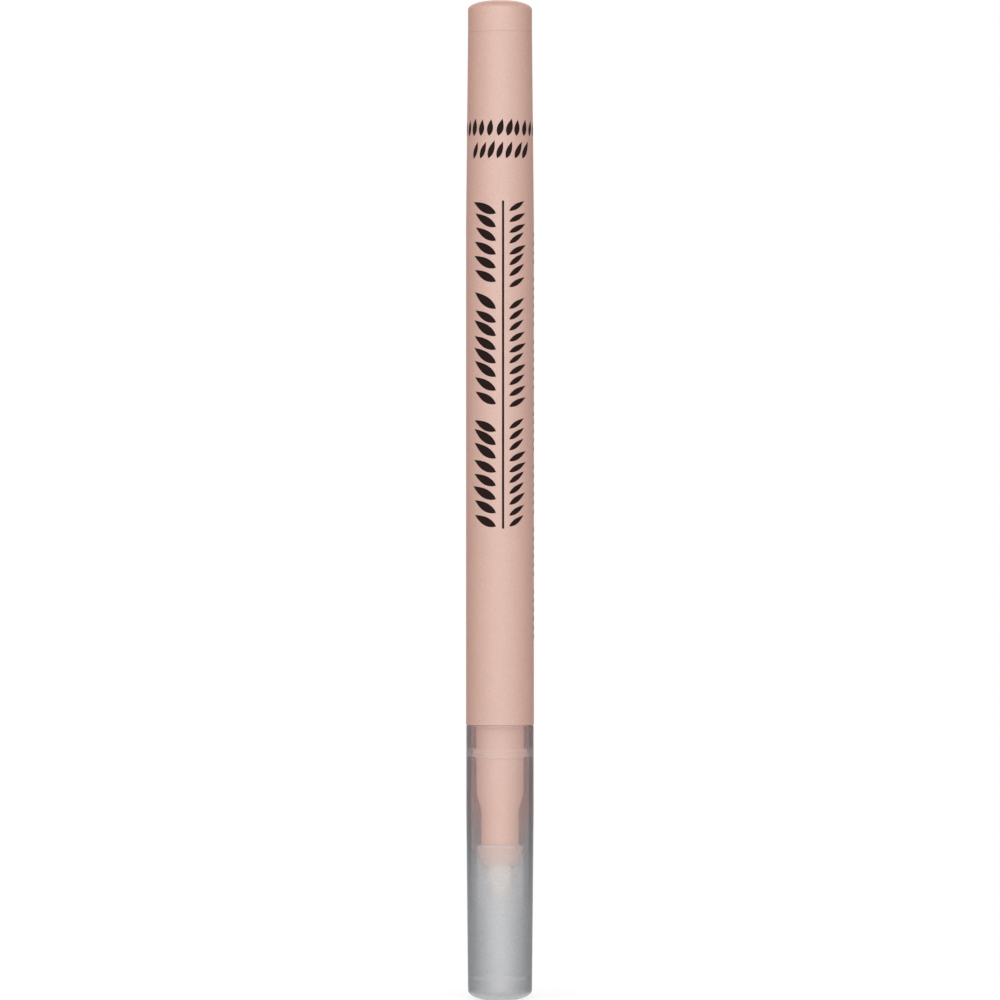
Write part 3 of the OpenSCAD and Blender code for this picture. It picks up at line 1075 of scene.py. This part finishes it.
def cap_outline():
    """From the gate's dimple up the outer face, over the rim and down the inner face."""
    end_r = cap_r - CAP_DROP
    in_r = cap_r - CAP_WALL
    end_in_r = end_r - CAP_WALL
    corner = end_in_r - SLEEVE_R
    top = mouth_z - MOUTH_GAP
    taper_z = mouth_z - CAP_STRAIGHT_L
    foot = [(0, GATE_H), (GATE_R - GATE_H, GATE_H), (GATE_R, 0)]
    foot += quarter((FOOT_R, 0), (end_r, CAP_ROUND_H), True, steps=FOOT_STEPS)
    outside = clouded(foot, FOOT_HAZE, 0)
    for z, haze in WALL_HAZE:
        outside += clouded([(cap_at(z), z)], haze, 0)
    straight = [(cap_r, taper_z), (cap_r, top - MOUTH_ROUND - RIM_FADE)]
    outside += clouded(straight, CLEAR_HAZE, 0)
    rim = quarter((cap_r, top - MOUTH_ROUND), (cap_r - MOUTH_ROUND, top))
    rim += [(in_r + MOUTH_CHAMFER, top)]
    ring_top, ring_end = SNAP_Z + SNAP_W / 2, SNAP_Z - SNAP_W / 2
    crest = SNAP_W * SNAP_FLAT_SHARE / 2
    ring = clouded([(in_r, ring_top), (SNAP_R, SNAP_Z + crest)], 0.0, 1, 0.0)
    # The crest shows white from behind: a painted highlight, a pale line across the neck.
    ring += clouded([(SNAP_R, SNAP_Z - crest)], RING_HIGHLIGHT_HAZE, 1, 0.0)
    ring += clouded([(in_r, ring_end)], 0.0, 1, 0.0)
    groove_r = cap_at(HOLD_Z) - CAP_WALL + HOLD_GROOVE
    groove_top, groove_end = HOLD_Z + HOLD_W / 2, HOLD_Z - HOLD_W / 2
    groove = [
        (cap_at(groove_top) - CAP_WALL, groove_top),
        (groove_r, groove_top - HOLD_GROOVE),
        (groove_r, groove_end + HOLD_GROOVE),
        (cap_at(groove_end) - CAP_WALL, groove_end),
    ]
    return (
        outside
        + clouded(rim, RIM_HAZE, 0)
        # Seen from behind, the mouth's inner edge shows white: a painted highlight.
        + clouded([(in_r, top - MOUTH_CHAMFER)], RIM_HAZE, 1)
        + clouded([(in_r, top - MOUTH_CHAMFER - RIM_FADE), (in_r, ring_top + RIM_FADE)], 0.0, 1)
        + ring
        + clouded([(in_r, ring_end - RIM_FADE), (in_r, taper_z)], 0.0, 1)
        + clouded(groove, END_HAZE, 1)
        + clouded(quarter((end_in_r, CAP_END_T + corner), (SLEEVE_R, CAP_END_T)), END_HAZE, 1)
        + clouded([(0, CAP_END_T)], END_HAZE, 1)
    )


cap_piece = turn("cap_shell", cap_outline(), frosted_plastic)
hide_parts("cap")
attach(cap_piece, "cap")

# %% [markdown]
# Inside the cap sits a milky sleeve that seals the nose. Its wall is thin round the nose, where
# the rose shows through, and thicker round the nib, which only glows through it. A material could
# work out that thickness from the light's path, but two values of haze that follow the wall are
# easier to match to the photograph.

# %% Inner cap
SOCKET_R = 2.65
CHAMBER_R = 2.15
SLEEVE_FLOOR_Z = 2.0
SLEEVE_WALL = 0.6
SLEEVE_LEAD = 0.33
SLEEVE_EDGE = 0.15
SEAT_GAP = 0.005
HOLD_GAP = 0.03
THICK_END_DROP = 1.5
BEND_FADE = 0.1
THIN_HAZE = 0.2
THICK_HAZE = 0.42


def sleeve_outline():
    """Up the outer face, over the mouth and down the socket into the air chamber."""
    seat_z = CAP_END_T + SEAT_GAP
    ring_top, ring_end = HOLD_Z + HOLD_W / 2 - HOLD_GAP, HOLD_Z - HOLD_W / 2 + HOLD_GAP
    low = [
        (0, seat_z),
        (SLEEVE_R - SLEEVE_EDGE, seat_z),
        (SLEEVE_R, seat_z + SLEEVE_EDGE),
        (SLEEVE_R, ring_end),
        (hold_r - HOLD_GROOVE, ring_end),
        (hold_r, ring_end + HOLD_GROOVE),
        (hold_r, ring_top - HOLD_GROOVE),
        (hold_r - HOLD_GROOVE, ring_top),
        (SLEEVE_R, ring_top),
        (SLEEVE_R, tip_z - THICK_END_DROP),
    ]
    step = [(SLEEVE_R, tip_top_z - BEND_FADE)]
    high = [(SLEEVE_R, tip_top_z)]
    high += quarter(
        (SLEEVE_R, sleeve_top_z - SLEEVE_EDGE), (SLEEVE_R - SLEEVE_EDGE, sleeve_top_z)
    )
    high += [(SOCKET_R + SLEEVE_LEAD, sleeve_top_z)]
    socket = [(SOCKET_R, sleeve_top_z - SLEEVE_LEAD), (SOCKET_R, tip_top_z)]
    chamber = [(CHAMBER_R, tip_z)]
    chamber += quarter(
        (CHAMBER_R, SLEEVE_FLOOR_Z + SLEEVE_WALL), (CHAMBER_R - SLEEVE_WALL, SLEEVE_FLOOR_Z)
    )
    chamber += [(0, SLEEVE_FLOOR_Z)]
    return (
        clouded(low, THICK_HAZE, 0, 0.0)
        + clouded(step, THIN_HAZE, 0, 0.0)
        + clouded(high, THIN_HAZE, 0)
        + clouded(socket, 0.0, 1, 0.0)
        + clouded(chamber, 0.0, 1, 0.0)
    )


sleeve_piece = turn("inner_cap_sleeve", sleeve_outline(), milky_plastic)
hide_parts("inner_cap")
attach(sleeve_piece, "cap")

# %% [markdown]
# The reservoir and its film are hidden in the barrel. They could be made anew, but their solids
# have the right shape already, so they only get a finish.

# %% Reservoir and film
FILM_COLOUR = (0.80, 0.84, 0.86)
FILM_ALPHA = 0.35


def film_finish():
    """Thin clear film round the fibre rod."""
    material, tree, skin = new_finish("wrap_film_clear")
    add_grain(
        tree, skin, FILM_COLOUR, size=0.3, drift=0.03, rough=0.12, rough_drift=0.04, depth=0.002
    )
    wire(tree, skin, Alpha=FILM_ALPHA)
    return material


def dress_node(name, finish):
    """Puts a finish on every slot of a carried-over node."""
    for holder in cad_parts[name].material_slots:
        holder.material = finish
    print(f"{name} has {finish.name}")


dress_node("reservoir", reservoir_fibre)
dress_node("reservoir_wrap", film_finish())

# %% [markdown]
# The barrel carries a plain decoration of leaves, printed in one dark ink. A picture could be laid
# on the barrel, but leaves that are real shapes stay sharp close up. One group lays out a row of
# them on a flat sheet, where X runs round the barrel and Y along it. Each leaf is a grid that is
# drawn in to a point at both ends, and a little chance in its tilt and size keeps a row lively.

# %% Row of leaves
LEAF_COLUMNS = 11
LEAF_LINES = 5
LEAF_MIDDLE = 0.5
BELLY_POWER = 0.8
SWAY = 0.1
SWAY_SEED = 3
SMALLEST = 0.88
SIZE_SEED = 8


def place_parts(tree):
    """X, Y and Z of the points that a tree works on."""
    place = node(tree, "GeometryNodeInputPosition").outputs[0]
    return node(tree, "ShaderNodeSeparateXYZ", {0: place}).outputs


def chance(tree, low, high, seed):
    """Random number for each point, the same in every run."""
    return node(tree, "FunctionNodeRandomValue", {2: low, 3: high, "Seed": seed}).outputs[1]


def single_leaf(tree, length, width):
    """Flat leaf along X with its base at the origin."""
    sheet = {
        "Size X": 1.0,
        "Size Y": 1.0,
        "Vertices X": LEAF_COLUMNS,
        "Vertices Y": LEAF_LINES,
    }
    blank = node(tree, "GeometryNodeMeshGrid", sheet).outputs["Mesh"]
    flat = place_parts(tree)
    along = calc(tree, "ADD", flat["X"], LEAF_MIDDLE)
    swell = calc(tree, "MULTIPLY", calc(tree, "POWER", along, BELLY_POWER), math.pi)
    wide = calc(tree, "MULTIPLY", flat["Y"], width)
    inputs = {
        "X": calc(tree, "MULTIPLY", along, length),
        "Y": calc(tree, "MULTIPLY", wide, calc(tree, "SINE", swell)),
    }
    place = node(tree, "ShaderNodeCombineXYZ", inputs).outputs[0]
    return merged(tree, placed_at(tree, blank, place), CLOSE_UP * MM)


def leaf_row_group():
    """Row of flat leaves. Where the count comes to the empty place, one is left out."""
    tree = bpy.data.node_groups.new("leaf_row", "GeometryNodeTree")
    add_sockets(tree, "INPUT", Count="Int", Start="Vector", Step="Vector", Tilt="Float")
    add_sockets(tree, "INPUT", Length="Float", Width="Float", Empty_place="Int")
    add_sockets(tree, "OUTPUT", Leaves="Geometry")
    given = node(tree, "NodeGroupInput").outputs
    leaf = single_leaf(tree, given["Length"], given["Width"])
    line = {"Count": given["Count"], "Start Location": given["Start"], "Offset": given["Step"]}
    bases = node(tree, "GeometryNodeMeshLine", line).outputs[0]
    index = node(tree, "GeometryNodeInputIndex").outputs[0]
    place = calc(tree, "MODULO", index, given["Empty place"])
    last = calc(tree, "SUBTRACT", given["Empty place"], 1.0)
    kept = node(tree, "FunctionNodeCompare", {0: place, 1: last}, operation="LESS_THAN")
    sway = chance(tree, -SWAY, SWAY, SWAY_SEED)
    inputs = {
        "Points": bases,
        "Selection": kept.outputs[0],
        "Instance": leaf,
        "Rotation": turned_by(tree, calc(tree, "ADD", given["Tilt"], sway)),
        "Scale": chance(tree, SMALLEST, 1.0, SIZE_SEED),
    }
    placed = node(tree, "GeometryNodeInstanceOnPoints", inputs).outputs[0]
    real = node(tree, "GeometryNodeRealizeInstances", {"Geometry": placed}).outputs[0]
    node(tree, "NodeGroupOutput", {"Leaves": real})
    print(f"{tree.name}: {len(tree.nodes)} nodes")
    return tree


leaf_row = leaf_row_group()

# %% [markdown]
# The print is a thin upright rule with leaves on both sides, a row of small leaves up the right
# side, and two more rows near the tail. A Shrinkwrap modifier could lay it on the barrel, but the
# barrel is round and its taper is known, so the tree bends the sheet by its own sums. Before that
# it joins the rows and the rule, and gives the sheet the thickness of ink.

# %% Print tree
INK_RISE = 0.012
INK_SINK = 0.008
LEAF_ROWS = (
    # places, first base x and z, step x and z, tilt in degrees, length, width, empty place
    (24, (-0.55, 66.3), (0.0, 1.9), 150, 4.15, 1.3, 9),
    (30, (1.3, 66.3), (0.0, 1.52), 30, 3.1, 0.8, 11),
    (11, (-7.0, 120.85), (1.35, 0.0), 78, 2.5, 0.95, 50),
    (7, (-4.3, 117.7), (1.3, 0.0), 66, 2.7, 0.85, 50),
    (46, (6.45, 50.6), (0.0, 1.25), 30, 1.6, 0.5, 7),
)


def add_leaf_row(tree, count, start, step, tilt, length, width, empty):
    """One row of leaves in the tree."""
    inputs = {
        "Count": count,
        "Start": (start[0] * MM, start[1] * MM, 0),
        "Step": (step[0] * MM, step[1] * MM, 0),
        "Tilt": math.radians(tilt),
        "Length": length * MM,
        "Width": width * MM,
        "Empty place": empty,
    }
    return node(tree, "GeometryNodeGroup", inputs, node_tree=leaf_row).outputs[0]


def joined(tree, parts):
    """One geometry out of several."""
    made = node(tree, "GeometryNodeJoinGeometry")
    for part in parts:
        tree.links.new(part, made.inputs[0])
    return made.outputs[0]


def thickened(tree, sheet):
    """Closed film of ink over a flat sheet."""
    inputs = {
        "Mesh": sheet,
        "Offset": (0, 0, 1),
        "Offset Scale": (INK_RISE + INK_SINK) * MM,
        "Individual": False,
    }
    film = node(tree, "GeometryNodeExtrudeMesh", inputs).outputs["Mesh"]
    under = node(tree, "GeometryNodeFlipFaces", {"Mesh": sheet}).outputs[0]
    return merged(tree, joined(tree, [film, under]), CLOSE_UP * MM)


def on_barrel(tree):
    """Where a point of the flat sheet lies once it is bent round the barrel."""
    at = place_parts(tree)
    taper = {
        "Value": at["Y"],
        "From Min": (seam_z - TAPER_L) * MM,
        "From Max": seam_z * MM,
        "To Min": (barrel_r - INK_SINK) * MM,
        "To Max": (tail_r - INK_SINK) * MM,
    }
    skin_r = node(tree, "ShaderNodeMapRange", taper).outputs[0]
    out = calc(tree, "ADD", skin_r, at["Z"])
    angle = calc(tree, "DIVIDE", at["X"], barrel_r * MM)
    across = calc(tree, "MULTIPLY", out, calc(tree, "SINE", angle))
    back = calc(tree, "MULTIPLY", out, calc(tree, "COSINE", angle))
    front = calc(tree, "MULTIPLY", back, -1.0)
    inputs = {"X": across, "Y": front, "Z": at["Y"]}
    return node(tree, "ShaderNodeCombineXYZ", inputs).outputs[0]


def print_tree():
    """Tree that puts the rule and the rows of leaves on the barrel."""
    tree = bpy.data.node_groups.new("print_round_the_barrel", "GeometryNodeTree")
    add_sockets(tree, "INPUT", Sheet="Geometry", Ink="Material")
    add_sockets(tree, "OUTPUT", Print="Geometry")
    given = node(tree, "NodeGroupInput").outputs
    parts = [given["Sheet"]] + [add_leaf_row(tree, *row) for row in LEAF_ROWS]
    closed = thickened(tree, joined(tree, parts))
    wrapped = placed_at(tree, closed, on_barrel(tree))
    node(tree, "NodeGroupOutput", {"Print": finished(tree, wrapped, given["Ink"])})
    print(f"{tree.name}: {len(LEAF_ROWS)} rows")
    return tree


print_on_barrel = print_tree()

# %% [markdown]
# The upright rule is the sheet that the tree starts from, a flat strip in short lengths, so that it
# can follow the taper. One long face could do on a straight barrel, but not on a tapered one. The
# ink is dark and nearly matt.

# %% Printed leaves
RULE_X = 0.43
RULE_W = 0.3
RULE_STEPS = 24
PRINT_FROM_Z = 66.0
PRINT_TO_Z = 111.8
INK_COLOUR = (0.02, 0.012, 0.011)


def rule_sheet():
    """Flat strip of the upright rule, two faces wide."""
    lines = (RULE_X - RULE_W / 2, RULE_X, RULE_X + RULE_W / 2)
    across = len(lines)
    corners = []
    for i in range(RULE_STEPS + 1):
        y = PRINT_FROM_Z + (PRINT_TO_Z - PRINT_FROM_Z) * i / RULE_STEPS
        corners += [(x * MM, y * MM, 0) for x in lines]
    faces = []
    for i in range(RULE_STEPS):
        for j in range(across - 1):
            k = across * i + j
            faces.append([k, k + 1, k + across + 1, k + across])
    mesh = bpy.data.meshes.new("rule_sheet")
    mesh.from_pydata(corners, [], faces)
    return mesh


def ink_finish():
    """Dark printed ink."""
    material, tree, skin = new_finish("printed_ink_dark")
    add_grain(
        tree, skin, INK_COLOUR, size=0.1, drift=0.1, rough=0.55, rough_drift=0.1, depth=0.002
    )
    wire(tree, skin, Specular_IOR_Level=0.05)
    return material


print_piece = run_tree("printed_leaves", rule_sheet(), print_on_barrel, Ink=ink_finish())
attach(print_piece, "pen")
print(f"printed_leaves: {len(print_piece.data.polygons)} faces")
